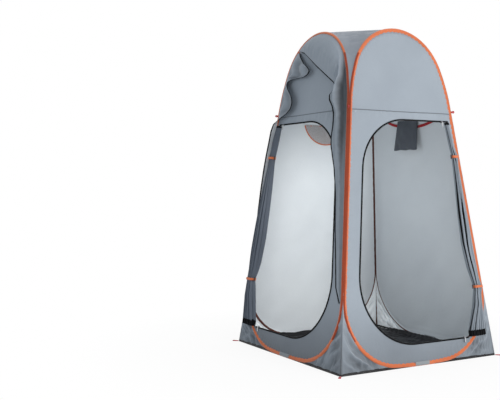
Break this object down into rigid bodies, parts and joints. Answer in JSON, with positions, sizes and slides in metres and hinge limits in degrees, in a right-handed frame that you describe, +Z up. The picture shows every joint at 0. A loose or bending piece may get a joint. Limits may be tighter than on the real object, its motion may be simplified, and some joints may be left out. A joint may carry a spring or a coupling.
{
  "type": "pop-up changing tent",
  "caption": "Tall leaning-walled pop-up changing tent on sprung wire hoops in bright binding, with rolled-back zip doors, groundsheet and inside pockets; folds flat at its corner seams.",
  "frame": {"origin": "middle of the groundsheet's underside, on the ground", "axes": "+Z up; -Y out of the front door's wall, -X out of the wall with the covered door"},
  "size_m": [1.27, 1.27, 2.053],
  "materials": {
    "grey_polyester": "thin coated polyester, satin",
    "grey_patch": "polyester, matt",
    "orange_binding": "woven binding tape",
    "spring_steel": "drawn spring wire",
    "black_groundsheet": "coated, slight shine",
    "black_zip": "woven tape and nylon coil",
    "zip_metal": "nickel plated",
    "red_webbing": "woven webbing",
    "dark_pocket": "polyester, matt",
    "grey_mesh": "fine open net",
    "toggle_plastic": "moulded"
  },
  "bodies": {
    "front": {"front_hoop_wire": "spring_steel", "front_hoop_sleeve": "orange_binding", "front_hoop_patch": "grey_patch", "front_gussets": "grey_polyester", "front_hem": "black_groundsheet", "front_wall_panel": "grey_polyester", "front_door_zip": "black_zip", "front_door_bundle": "grey_polyester", "front_tie_straps": "orange_binding", "roof_front_half": "grey_polyester", "groundsheet": "black_groundsheet", "front_guy_loops": "red_webbing"},
    "right_wall": {"right_hoop_wire": "spring_steel", "right_hoop_sleeve": "orange_binding", "right_hoop_patch": "grey_patch", "right_gussets": "grey_polyester", "right_hem": "black_groundsheet", "right_wall_panel": "grey_polyester", "roof_back_half": "grey_polyester", "hanging_pocket": "dark_pocket", "pocket_straps": "red_webbing"},
    "left_wall": {"left_hoop_wire": "spring_steel", "left_hoop_sleeve": "orange_binding", "left_hoop_patch": "grey_patch", "left_gussets": "grey_polyester", "left_hem": "black_groundsheet", "left_wall_panel": "grey_polyester", "left_door_zip": "black_zip", "left_door_bundle": "grey_polyester", "left_tie_straps": "orange_binding", "left_cover_hood": "grey_polyester", "left_cover_surround": "grey_polyester", "left_cover_zip": "black_zip", "left_cover_flap": "grey_polyester"},
    "back_wall": {"back_hoop_wire": "spring_steel", "back_hoop_sleeve": "orange_binding", "back_hoop_patch": "grey_patch", "back_gussets": "grey_polyester", "back_hem": "black_groundsheet", "back_wall_panel": "grey_polyester", "mesh_pocket": "grey_mesh", "mesh_pocket_binding": "orange_binding", "back_guy_loops": "red_webbing"},
    "front_zip_slider_top": {"front_zip_slider_top": "zip_metal"},
    "front_zip_slider_bottom": {"front_zip_slider_bottom": "zip_metal"},
    "front_zip_pull_top": {"front_zip_pull_top": "zip_metal"},
    "front_zip_pull_bottom": {"front_zip_pull_bottom": "zip_metal"},
    "front_toggle_upper": {"front_toggle_upper": "toggle_plastic"},
    "front_toggle_lower": {"front_toggle_lower": "toggle_plastic"},
    "left_zip_slider_top": {"left_zip_slider_top": "zip_metal"},
    "left_zip_slider_bottom": {"left_zip_slider_bottom": "zip_metal"},
    "left_zip_pull_top": {"left_zip_pull_top": "zip_metal"},
    "left_zip_pull_bottom": {"left_zip_pull_bottom": "zip_metal"},
    "left_toggle_upper": {"left_toggle_upper": "toggle_plastic"},
    "left_toggle_lower": {"left_toggle_lower": "toggle_plastic"},
    "peg_loop_front_left": {"peg_loop_front_left": "red_webbing"},
    "peg_loop_front_right": {"peg_loop_front_right": "red_webbing"},
    "peg_loop_back_right": {"peg_loop_back_right": "red_webbing"},
    "peg_loop_back_left": {"peg_loop_back_left": "red_webbing"}
  },
  "joints": [
    {"name": "fold", "type": "hinge", "parent": "front", "child": "right_wall", "pos_m": [0.6, -0.6, 0], "axis": [0.1254, -0.1254, -0.9842], "range_deg": [0, 78], "stiffness_Nm_per_rad": 4, "deforming": ["groundsheet", "roof_front_half", "roof_back_half"]},
    {"name": "fold_left", "type": "hinge", "parent": "front", "child": "left_wall", "pos_m": [-0.596, -0.596, 0], "axis": [-0.1254, -0.1254, -0.9842], "range_deg": [0, 78]},
    {"name": "fold_back", "type": "hinge", "parent": "right_wall", "child": "back_wall", "pos_m": [0.596, 0.596, 0], "axis": [-0.1254, -0.1254, 0.9842], "range_deg": [0, 78]},
    {"name": "front_zip_slider_top_slide", "type": "slide", "parent": "front", "child": "front_zip_slider_top", "axis": [-1, 0, 0], "range_m": [0, 0.28]},
    {"name": "front_zip_pull_top_hinge", "type": "hinge", "parent": "front_zip_slider_top", "child": "front_zip_pull_top", "pos_m": [0.31218, -0.42147, 1.4798], "axis": [-1, 0, 0], "range_deg": [0, 150]},
    {"name": "front_zip_slider_bottom_slide", "type": "slide", "parent": "front", "child": "front_zip_slider_bottom", "axis": [-1, 0, 0], "range_m": [0, 0.36]},
    {"name": "front_zip_pull_bottom_hinge", "type": "hinge", "parent": "front_zip_slider_bottom", "child": "front_zip_pull_bottom", "pos_m": [0.35202, -0.59257, 0.13666], "axis": [-1, 0, 0], "range_deg": [0, 150]},
    {"name": "front_toggle_upper_swivel", "type": "hinge", "parent": "front", "child": "front_toggle_upper", "pos_m": [0.35765, -0.45415, 1.25967], "axis": [1, 0, 0], "range_deg": [-90, 90]},
    {"name": "front_toggle_lower_swivel", "type": "hinge", "parent": "front", "child": "front_toggle_lower", "pos_m": [0.44393, -0.56108, 0.44162], "axis": [1, 0, 0], "range_deg": [-90, 90]},
    {"name": "left_zip_slider_top_slide", "type": "slide", "parent": "left_wall", "child": "left_zip_slider_top", "axis": [0, -1, 0], "range_m": [0, 0.28]},
    {"name": "left_zip_pull_top_hinge", "type": "hinge", "parent": "left_zip_slider_top", "child": "left_zip_pull_top", "pos_m": [-0.42147, 0.31218, 1.4798], "axis": [0, 1, 0], "range_deg": [0, 150]},
    {"name": "left_zip_slider_bottom_slide", "type": "slide", "parent": "left_wall", "child": "left_zip_slider_bottom", "axis": [0, -1, 0], "range_m": [0, 0.36]},
    {"name": "left_zip_pull_bottom_hinge", "type": "hinge", "parent": "left_zip_slider_bottom", "child": "left_zip_pull_bottom", "pos_m": [-0.59257, 0.35202, 0.13666], "axis": [0, 1, 0], "range_deg": [0, 150]},
    {"name": "left_toggle_upper_swivel", "type": "hinge", "parent": "left_wall", "child": "left_toggle_upper", "pos_m": [-0.45821, 0.35603, 1.26019], "axis": [0, -1, 0], "range_deg": [-90, 90]},
    {"name": "left_toggle_lower_swivel", "type": "hinge", "parent": "left_wall", "child": "left_toggle_lower", "pos_m": [-0.56608, 0.44208, 0.44226], "axis": [0, -1, 0], "range_deg": [-90, 90]},
    {"name": "peg_loop_front_left_hinge", "type": "hinge", "parent": "front", "child": "peg_loop_front_left", "pos_m": [-0.60216, -0.60216, 0.0016], "axis": [-0.7071, 0.7071, 0], "range_deg": [0, 85]},
    {"name": "peg_loop_front_right_hinge", "type": "hinge", "parent": "front", "child": "peg_loop_front_right", "pos_m": [0.60216, -0.60216, 0.0016], "axis": [-0.7071, -0.7071, 0], "range_deg": [0, 85]},
    {"name": "peg_loop_back_right_hinge", "type": "hinge", "parent": "back_wall", "child": "peg_loop_back_right", "pos_m": [0.60216, 0.60216, 0.0016], "axis": [0.7071, -0.7071, 0], "range_deg": [0, 85]},
    {"name": "peg_loop_back_left_hinge", "type": "hinge", "parent": "back_wall", "child": "peg_loop_back_left", "pos_m": [-0.60216, 0.60216, 0.0016], "axis": [0.7071, 0.7071, 0], "range_deg": [0, 85]}
  ],
  "couplings": [
    {"joint": "fold_left", "follows": "fold", "ratio": 1},
    {"joint": "fold_back", "follows": "fold", "ratio": 1}
  ]
}
